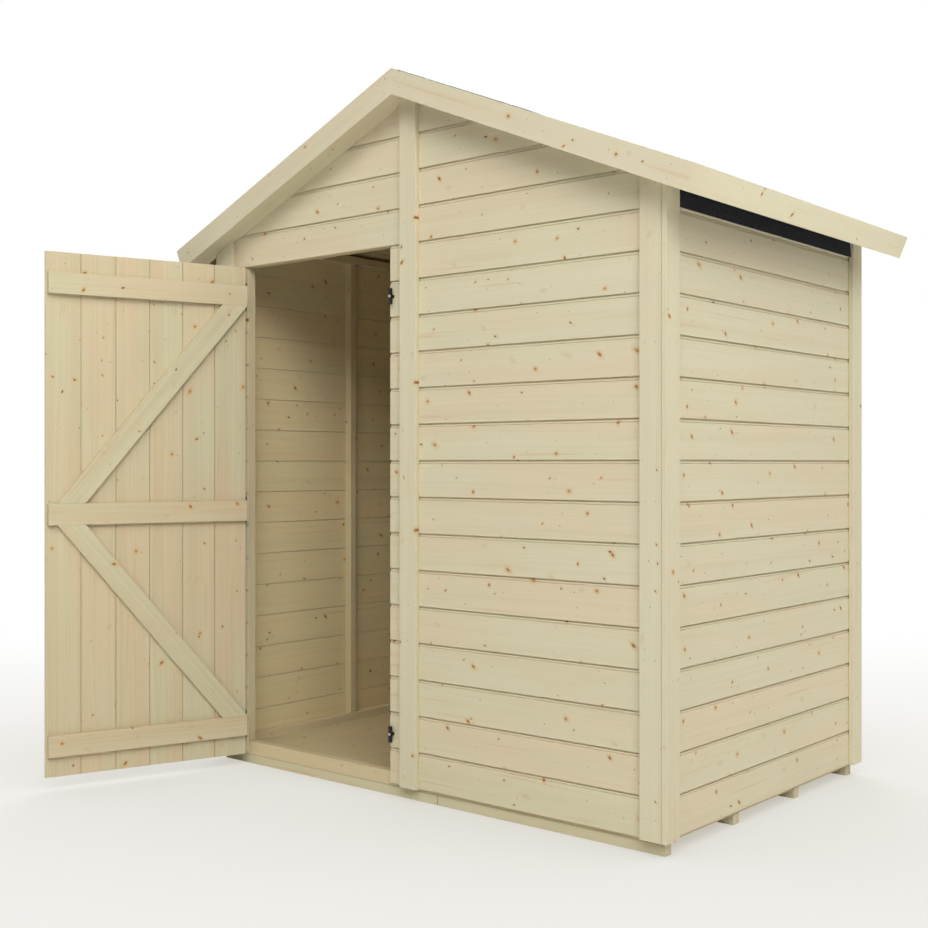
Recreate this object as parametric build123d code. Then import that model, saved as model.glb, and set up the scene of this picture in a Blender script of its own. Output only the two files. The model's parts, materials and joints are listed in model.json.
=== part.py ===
"""Timber garden shed with an apex roof and a ledged-and-braced door, standing on bearers.

Millimetres, +Z up. The origin is the middle of the front bearer's underside, so Z = 0 is the ground,
X = 0 is the middle of the front gable and the front looks along -Y. The door stands open, as stored.
"""
from build123d import *
from math import cos, radians, sin, tan
import os

# Walls, measured over the outer faces of the cladding
shed_width = 1806.0
shed_depth = 1216.0
cladding_thickness = 12.0
frame_depth = 30.0
frame_width = 28.0
rail_height = 44.5

# Floor and bearers
bearer_width = 32.0
bearer_height = 31.0
bearer_count = 4
front_bearer_inset = 4.0
bearer_setback = 12.0
cladding_lift = 11.5
floor_thickness = 16.0

# Doorway, measured from the left wall and the bottom of the cladding, and the wall over it
doorway_inset = 127.0
doorway_width = 688.0
doorway_height = 1680.0
head_height = 120.0
joint_distance = 88.0

# Trims
corner_trim_width = 68.0
corner_trim_thickness = 16.0
side_trim_width = 69.5
side_trim_thickness = 17.0
centre_trim_width = 68.0
centre_trim_thickness = 18.0
trim_drop = 2.0

# Roof, with depths taken square to the slope
roof_pitch_degrees = 23.0
sheet_thickness = 10.0
felt_thickness = 2.0
ridge_strip_run = 540.0
verge_overhang = 90.0
eave_overhang = 144.0
barge_height = 73.0
barge_thickness = 16.0
fascia_height = 73.0
fascia_thickness = 16.0
batten_step = 8.0
ridge_joint_gap = 1.0

# Door
door_gap = 5.0
door_frame_gap = 5.2
door_board_thickness = 11.0
door_drop = 3.0
ledge_height = 69.0
ledge_thickness = 17.0
ledge_free_inset = 7.0
bottom_ledge_level = 62.0
top_ledge_drop = 71.0
brace_free_inset = 36.0
door_open_degrees = 108.4

# Tee hinges on the outer face of the door
hinge_metal = 2.5
hinge_barrel_radius = 4.5
hinge_pin_radius = 2.2
hinge_running_gap = 0.1
hinge_end_gap = 0.3
hinge_plate_width = 40.0
hinge_plate_height = 96.0
hinge_strap_length = 300.0
hinge_strap_root = 34.0
hinge_strap_tip = 16.0

# Turn buttons beside the doorway
button_length = 50.0
button_width = 12.0
button_blade = 6.5
button_corner_radius = 2.5
button_boss_radius = 6.0
button_standoff = 9.4
button_edge_distance = 12.0
lower_button_level = 155.0
upper_button_drop = 161.0
button_screw_radius = 2.2
button_head_radius = 4.0
button_head_height = 1.5
button_running_gap = 0.1
button_seat_gap = 0.3

# Places that follow from the sizes above
half_width = shed_width / 2
front_y = -(bearer_setback + bearer_width / 2)
rear_y = front_y + shed_depth
front_frame_y = front_y + cladding_thickness
front_inside_y = front_frame_y + frame_depth
rear_frame_y = rear_y - cladding_thickness
rear_inside_y = rear_frame_y - frame_depth
side_frame_x = half_width - cladding_thickness
side_inside_x = side_frame_x - frame_depth
clad_z = bearer_height + cladding_lift
trim_z = clad_z - trim_drop
rail_top_z = bearer_height + rail_height
door_head_z = clad_z + doorway_height
wall_top_z = door_head_z + head_height
doorway_left = doorway_inset - half_width
doorway_right = doorway_left + doorway_width
joint_x = doorway_right + joint_distance
pitch = radians(roof_pitch_degrees)
ridge_z = wall_top_z + half_width * tan(pitch)
roof_top = sheet_thickness + felt_thickness
batten_base = roof_top - barge_height + batten_step
eave_run = (half_width + eave_overhang - roof_top * sin(pitch)) / cos(pitch)
sheet_run = eave_run - fascia_thickness
verge_front_y = front_y - verge_overhang
verge_rear_y = rear_y + verge_overhang
LEFT, RIGHT = -1, 1


def block(x, y, z):
    """Box between the two ends given for each axis."""
    size = (x[1] - x[0], y[1] - y[0], z[1] - z[0])
    corner = Box(*size, align=(Align.MIN, Align.MIN, Align.MIN))
    return Pos(x[0], y[0], z[0]) * corner


def plate(outline, y):
    """Solid with an outline of (x, z) points, running between two depths."""
    points = [(px, y[0], pz) for px, pz in outline]
    face = make_face(Polyline(points, close=True))
    return extrude(face, amount=y[1] - y[0], dir=(0, 1, 0))


def under_roof(x, lift=0.0):
    """Height at x of the line that lies lift above the roof sheet's underside."""
    return ridge_z - abs(x) * tan(pitch) + lift / cos(pitch)


def slope_point(side, run, lift):
    """Point (x, z) that lies run down the slope from the ridge and lift above the sheet's underside."""
    x = run * cos(pitch) + lift * sin(pitch)
    z = ridge_z - run * sin(pitch) + lift * cos(pitch)
    return (side * x, z)


def slope_board(side, low, high, end_run, y, gap=0.0):
    """Board along one slope, cut plumb at the ridge and square at the eave."""
    start = gap / cos(pitch)
    outline = [
        slope_point(side, start - low * tan(pitch), low),
        slope_point(side, start - high * tan(pitch), high),
        slope_point(side, end_run, high),
        slope_point(side, end_run, low),
    ]
    return plate(outline, y)


def post(x, y, bottom, lift):
    """Upright between two x values, with its top cut to the slope."""
    outline = [(x[0], bottom), (x[1], bottom), (x[1], under_roof(x[1], lift)), (x[0], under_roof(x[0], lift))]
    return plate(outline, y)


def floor_pieces():
    """Bearers across the width and the boarded floor between the wall frames."""
    front_end = half_width - front_bearer_inset
    last_y = rear_frame_y - frame_depth
    step = (last_y - front_frame_y) / (bearer_count - 1)
    bearers = []
    for index in range(bearer_count):
        y = front_frame_y + index * step
        end = front_end if index == 0 else side_frame_x
        bearers.append(block((-end, end), (y, y + bearer_width), (0, bearer_height)))
    floor = block(
        (-side_inside_x, side_inside_x),
        (front_inside_y, rear_inside_y),
        (bearer_height, bearer_height + floor_thickness),
    )
    return {"front_bearer": bearers[0], "inner_bearers": Compound(bearers[1:]), "floor": floor}


def frame_pieces():
    """Rails, studs, door jambs and gable rafters behind the cladding."""
    front = (front_frame_y, front_inside_y)
    rear = (rear_inside_y, rear_frame_y)
    between = (front_inside_y, rear_inside_y)
    bottom = (bearer_height, rail_top_z)
    top = (wall_top_z - frame_width, wall_top_z)
    full = (-side_frame_x, side_frame_x)
    pieces = {"front_rail": block(full, front, bottom), "rear_rail": block(full, rear, bottom)}
    side_stud_y = (front_inside_y, (front_y + rear_y - frame_width) / 2, rear_inside_y - frame_width)
    for name, side in (("left", LEFT), ("right", RIGHT)):
        x = sorted((side * side_inside_x, side * side_frame_x))
        pieces[name + "_rail"] = block(x, between, bottom)
        pieces[name + "_top_rail"] = block(x, between, top)
        studs = [block(x, (y, y + frame_width), (rail_top_z, top[0])) for y in side_stud_y]
        pieces[name + "_studs"] = Compound(studs)

    stud_lift = -frame_width
    corner = side_frame_x - frame_width
    left_jamb = (doorway_left - frame_width, doorway_left)
    right_jamb = (doorway_right, doorway_right + frame_width)
    pieces["left_jamb"] = post(left_jamb, front, rail_top_z, stud_lift)
    pieces["right_jamb"] = post(right_jamb, front, rail_top_z, stud_lift)
    pieces["door_header"] = block(
        (doorway_left, doorway_right), front, (door_head_z, door_head_z + frame_depth)
    )
    pieces["front_left_post"] = post((-side_frame_x, -corner), front, rail_top_z, stud_lift)
    right_studs = [post((x, x + frame_width), front, rail_top_z, stud_lift) for x in (joint_x, corner)]
    pieces["front_right_studs"] = Compound(right_studs)
    third = (side_frame_x * 2 - frame_width) / 3
    rear_x = (-side_frame_x, third - side_frame_x, corner - third, corner)
    pieces["rear_studs"] = Compound([post((x, x + frame_width), rear, rail_top_z, stud_lift) for x in rear_x])
    for name, y in (("front", front), ("rear", rear)):
        rafters = []
        for side in (LEFT, RIGHT):
            near, far = side * ridge_joint_gap, side * side_frame_x
            outline = [
                (near, under_roof(near, stud_lift)),
                (near, under_roof(near)),
                (far, under_roof(far)),
                (far, under_roof(far, stud_lift)),
            ]
            rafters.append(plate(outline, y))
        pieces[name + "_rafters"] = Compound(rafters)
    return pieces


def cladding_pieces():
    """Boarded wall skins; the front one is split beside and over the doorway."""
    front = (front_y, front_frame_y)
    gable = [(half_width, wall_top_z), (0, ridge_z), (-half_width, wall_top_z)]
    side_y = (front_frame_y, rear_frame_y)
    side_z = (clad_z, wall_top_z)
    return {
        "front_left_cladding": block((-half_width, doorway_left), front, (clad_z, door_head_z)),
        "front_right_cladding": block((doorway_right, half_width), front, (clad_z, door_head_z)),
        "front_gable": plate([(-half_width, door_head_z), (half_width, door_head_z)] + gable, front),
        "rear_cladding": plate([(-half_width, clad_z), (half_width, clad_z)] + gable, (rear_frame_y, rear_y)),
        "left_cladding": block((-half_width, -side_frame_x), side_y, side_z),
        "right_cladding": block((side_frame_x, half_width), side_y, side_z),
    }


def trim_pieces():
    """Cover strips on the four corners and over the joint in the front wall."""
    front = (front_y - corner_trim_thickness, front_y)
    rear = (rear_y, rear_y + corner_trim_thickness)
    inner = half_width - corner_trim_width
    outer = half_width + side_trim_thickness
    side_ends = (
        (front[0], front[0] + side_trim_width),
        (rear[1] - side_trim_width, rear[1]),
    )
    pieces = {}
    pieces["front_left_trim"] = post((-half_width, -inner), front, trim_z, batten_base)
    pieces["front_right_trim"] = post((inner, half_width), front, trim_z, batten_base)
    rear_trims = [post(x, rear, trim_z, batten_base) for x in ((-half_width, -inner), (inner, half_width))]
    pieces["rear_trims"] = Compound(rear_trims)
    for name, x in (("left", (-outer, -half_width)), ("right", (half_width, outer))):
        pieces[name + "_side_trims"] = Compound([post(x, y, trim_z, batten_base) for y in side_ends])
    trim_left = joint_x - centre_trim_width / 2
    trim_right = joint_x + centre_trim_width / 2
    outline = [(trim_left, trim_z), (trim_right, trim_z), (trim_right, under_roof(trim_right, batten_base))]
    if trim_left < 0 < trim_right:
        outline.append((0, under_roof(0, batten_base)))
    outline.append((trim_left, under_roof(trim_left, batten_base)))
    pieces["centre_trim"] = plate(outline, (front_y - centre_trim_thickness, front_y))
    return pieces


def folded_sheet(low, high, end_run, y):
    """Thin sheet bent over the ridge, with square-cut ends."""
    outline = [
        slope_point(LEFT, end_run, low),
        (0, under_roof(0, low)),
        slope_point(RIGHT, end_run, low),
        slope_point(RIGHT, end_run, high),
        (0, under_roof(0, high)),
        slope_point(LEFT, end_run, high),
    ]
    return plate(outline, y)


def roof_pieces():
    """Roof sheets, verge battens, bargeboards, eave fascias and the felt between them."""
    verge = (verge_front_y, verge_rear_y)
    inner = (verge_front_y + barge_thickness, verge_rear_y - barge_thickness)
    barge_base = roof_top - barge_height
    fascia_base = roof_top - fascia_height
    pieces = {}
    for name, side in (("left", LEFT), ("right", RIGHT)):
        pieces[name + "_roof_sheet"] = slope_board(side, 0, sheet_thickness, sheet_run, inner)
        fascia = [
            slope_point(side, sheet_run, fascia_base),
            slope_point(side, sheet_run, roof_top),
            slope_point(side, eave_run, roof_top),
            slope_point(side, eave_run, fascia_base),
        ]
        pieces[name + "_eave_fascia"] = plate(fascia, inner)
    ends = (
        ("front", (verge[0], inner[0]), (inner[0], front_y)),
        ("rear", (inner[1], verge[1]), (rear_y, inner[1])),
    )
    for name, barge_y, batten_y in ends:
        battens = []
        for side_name, side in (("left", LEFT), ("right", RIGHT)):
            barge = slope_board(side, barge_base, roof_top, eave_run, barge_y)
            pieces[name + "_" + side_name + "_bargeboard"] = barge
            battens.append(slope_board(side, batten_base, 0, sheet_run, batten_y, ridge_joint_gap))
        pieces[name + "_verge_battens"] = Compound(battens)
    pieces["roof_felt"] = folded_sheet(sheet_thickness, roof_top, sheet_run, inner)
    pieces["ridge_strip"] = folded_sheet(roof_top, roof_top + felt_thickness, ridge_strip_run, inner)
    return pieces


door_left = doorway_left + door_gap
door_right = doorway_right - door_gap
door_back_y = front_frame_y - door_frame_gap
door_face_y = door_back_y - door_board_thickness
door_bottom_z = clad_z - door_drop
door_top_z = door_head_z - door_gap
bottom_ledge_z = clad_z + bottom_ledge_level
top_ledge_z = door_head_z - top_ledge_drop - ledge_height
ledge_levels = [bottom_ledge_z, (bottom_ledge_z + top_ledge_z) / 2, top_ledge_z]
button_heights = {"lower": clad_z + lower_button_level, "upper": door_head_z - upper_button_drop}
hinge_x = doorway_left + door_gap / 2
hinge_y = door_face_y - hinge_barrel_radius
hinge_levels = [level + ledge_height / 2 for level in ledge_levels]


def swing(shape):
    """Turn a piece of the closed door to the angle at which the door stands open."""
    axis = Axis((hinge_x, hinge_y, 0), (0, 0, 1))
    return shape.rotate(axis, -door_open_degrees)


def door_pieces():
    """Boarded door with three ledges and two braces that rise towards the hinge side and fall below it."""
    boards = block((door_left, door_right), (door_face_y, door_back_y), (door_bottom_z, door_top_z))
    ledge_y = (door_back_y, door_back_y + ledge_thickness)
    ledge_x = (door_left, door_right - ledge_free_inset)
    ledges = [block(ledge_x, ledge_y, (level, level + ledge_height)) for level in ledge_levels]
    braces = []
    bottom, middle, top = ledge_levels
    for start, end in ((middle + ledge_height, top), (middle, bottom + ledge_height)):
        foot = door_right - brace_free_inset
        rise = abs(end - start)
        span = foot - door_left
        reach = (rise ** 2 + span ** 2 - ledge_height ** 2) ** 0.5
        width = ledge_height * (rise * reach - ledge_height * span) / (rise ** 2 - ledge_height ** 2)
        outline = [(foot, start), (foot - width, start), (door_left, end), (door_left + width, end)]
        braces.append(plate(outline, ledge_y))
    return {
        "door_boards": swing(boards),
        "door_ledges": swing(Compound(ledges)),
        "door_braces": swing(Compound(braces)),
    }


def barrel(radius, z):
    """Round bar on the hinge axis between two heights."""
    height = z[1] - z[0]
    bar = Cylinder(radius, height, align=(Align.CENTER, Align.CENTER, Align.MIN))
    return Pos(hinge_x, hinge_y, z[0]) * bar


def hinge_pieces():
    """Tee hinges: a plate with two knuckles and the pin beside the doorway, a tapered strap on the door."""
    straps = []
    plates = []
    for level in hinge_levels:
        half_root = hinge_strap_root / 2
        half_tip = hinge_strap_tip / 2
        half_plate = hinge_plate_height / 2
        knuckle = half_root
        root_x = hinge_x
        tip_x = door_left + hinge_strap_length
        strap_y = (door_face_y - hinge_metal, door_face_y)
        outline = [
            (root_x, level - half_root),
            (tip_x, level - half_tip),
            (tip_x, level + half_tip),
            (root_x, level + half_root),
        ]
        strap = plate(outline, strap_y) + barrel(hinge_barrel_radius, (level - knuckle, level + knuckle))
        bore = barrel(hinge_pin_radius + hinge_running_gap, (level - half_plate, level + half_plate))
        straps.append(strap - bore)

        plate_x = (hinge_x - hinge_plate_width, hinge_x)
        plate_y = (front_y - hinge_metal, front_y)
        leaf = block(plate_x, plate_y, (level - half_plate, level + half_plate))
        inner = knuckle + hinge_end_gap
        notch = block((hinge_x - 2 * hinge_barrel_radius, hinge_x), plate_y, (level - inner, level + inner))
        leaf -= notch
        for low, high in ((level - half_plate, level - inner), (level + inner, level + half_plate)):
            leaf += barrel(hinge_barrel_radius, (low, high))
            leaf += block((hinge_x - hinge_barrel_radius, hinge_x), (hinge_y, front_y), (low, high))
        leaf += barrel(hinge_pin_radius, (level - half_plate, level + half_plate))
        plates.append(leaf)
    return {"hinge_straps": swing(Compound(straps)), "hinge_plates": Compound(plates)}


def button_pieces():
    """Turn buttons that hold the door shut, each on a screw beside the doorway."""
    x = doorway_right + button_edge_distance
    pieces = {}
    screws = []
    for name, height in button_heights.items():
        place = Pos(x, front_y, height) * Rot(90, 0, 0)
        boss_height = button_standoff - button_seat_gap
        boss = Pos(0, 0, button_seat_gap) * Cylinder(
            button_boss_radius, boss_height, align=(Align.CENTER, Align.CENTER, Align.MIN)
        )
        face = RectangleRounded(button_width, button_length, button_corner_radius)
        blade = extrude(face, amount=button_blade)
        button = boss + Pos(0, 0, button_standoff) * blade
        reach = button_standoff + button_blade
        bore = Cylinder(
            button_screw_radius + button_running_gap, reach, align=(Align.CENTER, Align.CENTER, Align.MIN)
        )
        pieces[name + "_turn_button"] = place * (button - bore)
        shank_length = reach + button_seat_gap
        shank = Cylinder(button_screw_radius, shank_length, align=(Align.CENTER, Align.CENTER, Align.MIN))
        head = Pos(0, 0, shank_length) * Cylinder(
            button_head_radius, button_head_height, align=(Align.CENTER, Align.CENTER, Align.MIN)
        )
        screws.append(place * (shank + head))
    pieces["button_screws"] = Compound(screws)
    return pieces


def main():
    """Build every piece and write one file for each."""
    pieces = {}
    for make in (
        floor_pieces,
        frame_pieces,
        cladding_pieces,
        trim_pieces,
        roof_pieces,
        door_pieces,
        hinge_pieces,
        button_pieces,
    ):
        pieces.update(make())
    os.makedirs("parts", exist_ok=True)
    for name, shape in pieces.items():
        export_step(shape, "parts/" + name + ".step")


main()
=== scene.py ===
"""Looks of a timber garden shed: boarded walls, felted apex roof and an open ledged-and-braced door."""

import json
import logging
import math
import random
from dataclasses import dataclass, field
from enum import Enum
from typing import Optional, Sequence

import bmesh
import bpy
from mathutils import Matrix, Vector


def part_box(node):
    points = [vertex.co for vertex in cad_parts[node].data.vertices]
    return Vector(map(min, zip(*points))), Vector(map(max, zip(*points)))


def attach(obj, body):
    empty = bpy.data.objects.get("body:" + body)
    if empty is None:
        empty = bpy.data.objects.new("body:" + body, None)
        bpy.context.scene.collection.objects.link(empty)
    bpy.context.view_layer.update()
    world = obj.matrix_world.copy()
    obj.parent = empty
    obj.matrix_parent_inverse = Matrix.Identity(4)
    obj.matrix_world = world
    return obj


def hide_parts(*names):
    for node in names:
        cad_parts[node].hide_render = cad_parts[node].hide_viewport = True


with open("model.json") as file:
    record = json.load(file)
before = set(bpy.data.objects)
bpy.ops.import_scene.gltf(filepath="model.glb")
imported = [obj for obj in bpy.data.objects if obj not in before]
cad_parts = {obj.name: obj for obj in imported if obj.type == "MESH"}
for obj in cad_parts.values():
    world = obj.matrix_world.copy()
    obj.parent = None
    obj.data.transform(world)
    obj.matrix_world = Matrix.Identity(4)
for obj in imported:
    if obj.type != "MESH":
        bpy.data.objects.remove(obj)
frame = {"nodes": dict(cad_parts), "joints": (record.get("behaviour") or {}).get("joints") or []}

LOG = logging.getLogger("garden_shed")
MM = 0.001
X_AXIS, Y_AXIS, Z_AXIS = Vector((1, 0, 0)), Vector((0, 1, 0)), Vector((0, 0, 1))


class Body(Enum):
    """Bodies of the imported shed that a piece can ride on."""

    SHED = "shed"
    DOOR = "door"
    UPPER_BUTTON = "upper_button"
    LOWER_BUTTON = "lower_button"


class Slope(Enum):
    """The two slopes of the roof, by the sign of X."""

    LEFT = -1
    RIGHT = 1


class Graph:
    """Adds nodes to a shader or geometry tree and joins them."""

    def __init__(self, tree: bpy.types.NodeTree) -> None:
        """Keep the tree that the nodes go into."""
        self.tree = tree

    def plug(self, socket: bpy.types.NodeSocket, value: object) -> None:
        """Link a socket into another, or set its value."""
        if isinstance(value, bpy.types.NodeSocket):
            self.tree.links.new(value, socket)
        else:
            socket.default_value = value

    def add(self, kind: str, inputs: Optional[dict] = None, **settings: object) -> bpy.types.Node:
        """Make one node.

        Args:
            kind: Blender's name for the node type.
            inputs: sockets by name or index, each with a value or a socket to link from.
            settings: the node's own properties.

        Returns:
            The new node.
        """
        node = self.tree.nodes.new(kind)
        for key, value in settings.items():
            setattr(node, key, value)
        for key, value in (inputs or {}).items():
            self.plug(node.inputs[key], value)
        return node

    def math(self, operation: str, *values: object, clamp: bool = False) -> bpy.types.NodeSocket:
        """Put one Math node on the values and return its result."""
        inputs = dict(enumerate(values))
        return self.add("ShaderNodeMath", inputs, operation=operation, use_clamp=clamp).outputs[0]

    def vector(self, operation: str, *values: object) -> bpy.types.NodeSocket:
        """Put one Vector Math node on the values and return its vector."""
        inputs = dict(enumerate(values))
        return self.add("ShaderNodeVectorMath", inputs, operation=operation).outputs[0]

    def combine(self, x: object, y: object, z: object) -> bpy.types.NodeSocket:
        """Join three numbers into a vector."""
        return self.add("ShaderNodeCombineXYZ", {0: x, 1: y, 2: z}).outputs[0]

    def step(self, value: object, start: float, end: float) -> bpy.types.NodeSocket:
        """Rise smoothly from 0 at start to 1 at end; start may be the larger."""
        node = self.add("ShaderNodeMapRange", interpolation_type="SMOOTHSTEP")
        flip = start > end
        self.plug(node.inputs["Value"], value)
        for name, number in zip(("From Min", "From Max", "To Min", "To Max"),
                                (end, start, 1.0, 0.0) if flip else (start, end, 0.0, 1.0)):
            node.inputs[name].default_value = number
        return node.outputs[0]

    def spread(self, value: object, low: float, high: float) -> bpy.types.NodeSocket:
        """Stretch 0 to 1 out to low to high."""
        return self.math("MULTIPLY_ADD", value, high - low, low)

    def noise(self, vector: object, scale: float, detail: float = 2.0,
              roughness: float = 0.5) -> bpy.types.NodeSocket:
        """Return the value of a noise texture on a vector."""
        inputs = {"Vector": vector, "Scale": scale, "Detail": detail, "Roughness": roughness}
        return self.add("ShaderNodeTexNoise", inputs).outputs[0]

    def mix(self, factor: object, first: object, second: object,
            blend: str = "MIX") -> bpy.types.NodeSocket:
        """Mix two colours and return the result."""
        node = self.add("ShaderNodeMix", data_type="RGBA", blend_type=blend)
        for index, value in ((0, factor), (6, first), (7, second)):
            self.plug(node.inputs[index], value)
        return node.outputs[2]


def new_group(name: str, kind: str, inputs: Sequence[tuple], outputs: Sequence[tuple]) -> tuple:
    """Start a node group with named sockets.

    Args:
        name: the group's name.
        kind: ShaderNodeTree or GeometryNodeTree.
        inputs: pairs of socket name and socket type.
        outputs: pairs of socket name and socket type.

    Returns:
        The graph, the sockets that bring values in, and the sockets that take results.
    """
    tree = bpy.data.node_groups.new(name, kind)
    for direction, sockets in (("INPUT", inputs), ("OUTPUT", outputs)):
        for socket_name, socket_type in sockets:
            tree.interface.new_socket(name=socket_name, in_out=direction, socket_type=socket_type)
    graph = Graph(tree)
    return graph, graph.add("NodeGroupInput").outputs, graph.add("NodeGroupOutput").inputs


@dataclass(frozen=True)
class KnotPattern:
    """One kind of knot: how far apart the knots are, how large, how long, and where they start."""

    spacing: tuple
    radius: tuple
    stretch: tuple
    share: float
    start: float

    def draw(self, graph: Graph, x: object, y: object, amount: object) -> tuple:
        """Scatter knots over the face of a board.

        Args:
            graph: the graph to draw in.
            x: distance along the grain.
            y: distance across the grain.
            amount: how full of knots the timber is.

        Returns:
            The distance from the nearest knot in knot radii, a mask that is 1 where that place
            holds a knot, and a random number for the knot.
        """
        along, across = self.spacing
        place = graph.combine(graph.math("MULTIPLY_ADD", x, 1 / along, self.start),
                              graph.math("MULTIPLY", y, 1 / across), 0.0)
        cells = graph.add("ShaderNodeTexVoronoi", {"Vector": place, "Scale": 1.0},
                          voronoi_dimensions="2D", feature="F1")
        offset = graph.vector("SUBTRACT", place, cells.outputs["Position"])
        offset = graph.vector("MULTIPLY", offset, (along, across, 0.0))
        lots = graph.add("ShaderNodeSeparateColor", {0: cells.outputs["Color"]}).outputs
        axes = graph.add("ShaderNodeSeparateXYZ", {0: offset}).outputs
        slant = graph.math("MULTIPLY_ADD", axes[1], graph.spread(lots[1], -0.7, 0.7), axes[0])
        long_way = graph.math("DIVIDE", slant, graph.spread(lots[2], *self.stretch))
        reach = graph.math("SQRT", graph.math("ADD", graph.math("MULTIPLY", long_way, long_way),
                                              graph.math("MULTIPLY", axes[1], axes[1])))
        size = graph.spread(lots[1], *self.radius)
        present = graph.math("LESS_THAN", lots[0], graph.math("MULTIPLY", amount, self.share))
        return graph.math("DIVIDE", reach, size), present, lots[2]


class Softwood:
    """Shader group for planed softwood: growth rings, fibres, patches, resin and knots."""

    KNOTS = KnotPattern((0.17, 0.08), (3.2 * MM, 7.4 * MM), (0.75, 1.25), 0.46, 0.0)
    DARK_KNOTS = KnotPattern((0.24, 0.09), (1.9 * MM, 3.6 * MM), (1.1, 1.8), 0.40, 57.3)
    PINS = KnotPattern((0.125, 0.054), (1.4 * MM, 2.8 * MM), (0.9, 1.4), 0.52, 31.7)
    GHOSTS = KnotPattern((0.27, 0.10), (6.0 * MM, 11.0 * MM), (1.0, 1.9), 0.42, 83.1)
    RING_WIDTH = 4.4 * MM
    SAWN_TINT = (1.13, 1.045, 0.85, 1)

    def __init__(self) -> None:
        """Build the group once."""
        graph, source, result = new_group(
            "softwood", "ShaderNodeTree",
            [("Grain", "NodeSocketVector"), ("Tone", "NodeSocketFloat"), ("Pale", "NodeSocketColor"),
             ("Warm", "NodeSocketColor"), ("Figure", "NodeSocketFloat"), ("Knots", "NodeSocketFloat"),
             ("Sawn", "NodeSocketFloat")],
            [("Color", "NodeSocketColor"), ("Height", "NodeSocketFloat"),
             ("Roughness", "NodeSocketFloat")])
        self.tree = graph.tree
        x, y, z = graph.add("ShaderNodeSeparateXYZ", {0: source["Grain"]}).outputs[:3]
        amount = source["Knots"]

        # Knots come first, because the grain bends round them
        reach, present, knot_lot = self.KNOTS.draw(graph, x, y, amount)
        core = graph.math("MULTIPLY", graph.step(reach, 1.25, 0.45), present)
        heart = graph.math("MULTIPLY", graph.step(reach, 0.75, 0.2), present)
        halo = graph.math("MULTIPLY", graph.step(reach, 2.8, 0.8), present)
        dark_reach, dark_present, _ = self.DARK_KNOTS.draw(graph, x, y, amount)
        dark = graph.math("MULTIPLY", graph.step(dark_reach, 1.35, 0.35), dark_present)
        blush = graph.math("MULTIPLY", graph.step(dark_reach, 4.0, 0.8), dark_present)
        pin_reach, pin_present, pin_lot = self.PINS.draw(graph, x, y, amount)
        pin = graph.math("MULTIPLY", graph.step(pin_reach, 1.25, 0.5), pin_present)
        ghost_reach, ghost_present, _ = self.GHOSTS.draw(graph, x, y, amount)
        ghost = graph.math("MULTIPLY", graph.step(ghost_reach, 1.3, 0.3), ghost_present)

        # Rings round a pith that wanders along the stick
        drift = graph.noise(graph.combine(graph.math("MULTIPLY", x, 0.8),
                                          graph.math("MULTIPLY", source["Tone"], 23.0), 0.0), 1.0, 1.0)
        sideways = graph.math("ADD", y, graph.spread(drift, -0.03, 0.03))
        radius = graph.math("SQRT", graph.math("ADD", graph.math("MULTIPLY", sideways, sideways),
                                               graph.math("MULTIPLY", z, z)))
        wobble = graph.noise(graph.vector("MULTIPLY", source["Grain"], (2.2, 16.0, 16.0)), 1.0, 2.0)
        bent = graph.math("MULTIPLY_ADD", halo, 2.2 * MM, graph.math("MULTIPLY_ADD", wobble, 7 * MM, radius))
        ring = graph.math("FRACT", graph.math("MULTIPLY", bent, 1 / self.RING_WIDTH))
        late = graph.math("MULTIPLY", graph.step(ring, 0.3, 0.86), graph.step(ring, 1.0, 0.9))
        fibre = graph.noise(graph.vector("MULTIPLY", source["Grain"], (3.0, 150.0, 150.0)), 1.0, 3.0, 0.6)
        streak = graph.noise(graph.vector("MULTIPLY", source["Grain"], (0.9, 30.0, 30.0)), 1.0, 2.0)
        patch = graph.noise(graph.vector("MULTIPLY", source["Grain"], (1.6, 7.0, 7.0)), 1.0, 2.0)
        resin = graph.noise(graph.vector("MULTIPLY", source["Grain"], (1.9, 62.0, 62.0)), 1.0, 1.0)

        # Colour from the broad patches down to the knots
        blend = graph.math("ADD", graph.step(patch, 0.36, 0.66),
                           graph.spread(source["Tone"], -0.30, 0.30), clamp=True)
        wood = graph.mix(blend, source["Pale"], source["Warm"])
        wood = graph.mix(source["Sawn"], wood, graph.add(
            "ShaderNodeMix", {0: 1.0, 6: wood, 7: self.SAWN_TINT}, data_type="RGBA",
            blend_type="MULTIPLY").outputs[2])
        figure = graph.math("ADD", graph.math("MULTIPLY", late, 0.75), graph.step(streak, 0.35, 0.75))
        figure = graph.math("ADD", figure, graph.math("MULTIPLY", fibre, 0.5))
        figure = graph.math("MULTIPLY", figure, source["Figure"])
        wood = graph.mix(figure, wood, (0.46, 0.36, 0.19, 1))
        for mask, strength, tone in ((graph.step(resin, 0.66, 0.78), 0.30, (0.58, 0.34, 0.19, 1)),
                                     (ghost, 0.26, (0.47, 0.33, 0.17, 1)),
                                     (blush, 0.22, (0.60, 0.36, 0.22, 1)),
                                     (halo, 0.40, (0.60, 0.36, 0.13, 1))):
            wood = graph.mix(graph.math("MULTIPLY", mask, strength), wood, tone)
        pin_tone = graph.mix(pin_lot, (0.27, 0.24, 0.16, 1), (0.30, 0.16, 0.08, 1))
        wood = graph.mix(graph.math("MULTIPLY", pin, 0.66), wood, pin_tone)
        knot_tone = graph.mix(knot_lot, (0.34, 0.125, 0.028, 1), (0.44, 0.21, 0.06, 1))
        strength = graph.spread(knot_lot, 0.98, 0.55)
        wood = graph.mix(graph.math("MULTIPLY", core, strength), wood, knot_tone)
        wood = graph.mix(graph.math("MULTIPLY", graph.math("MULTIPLY", heart, strength), 0.65), wood,
                         (0.15, 0.038, 0.008, 1))
        wood = graph.mix(graph.math("MULTIPLY", dark, 0.94), wood, (0.125, 0.034, 0.010, 1))
        graph.plug(result["Color"], wood)

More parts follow.
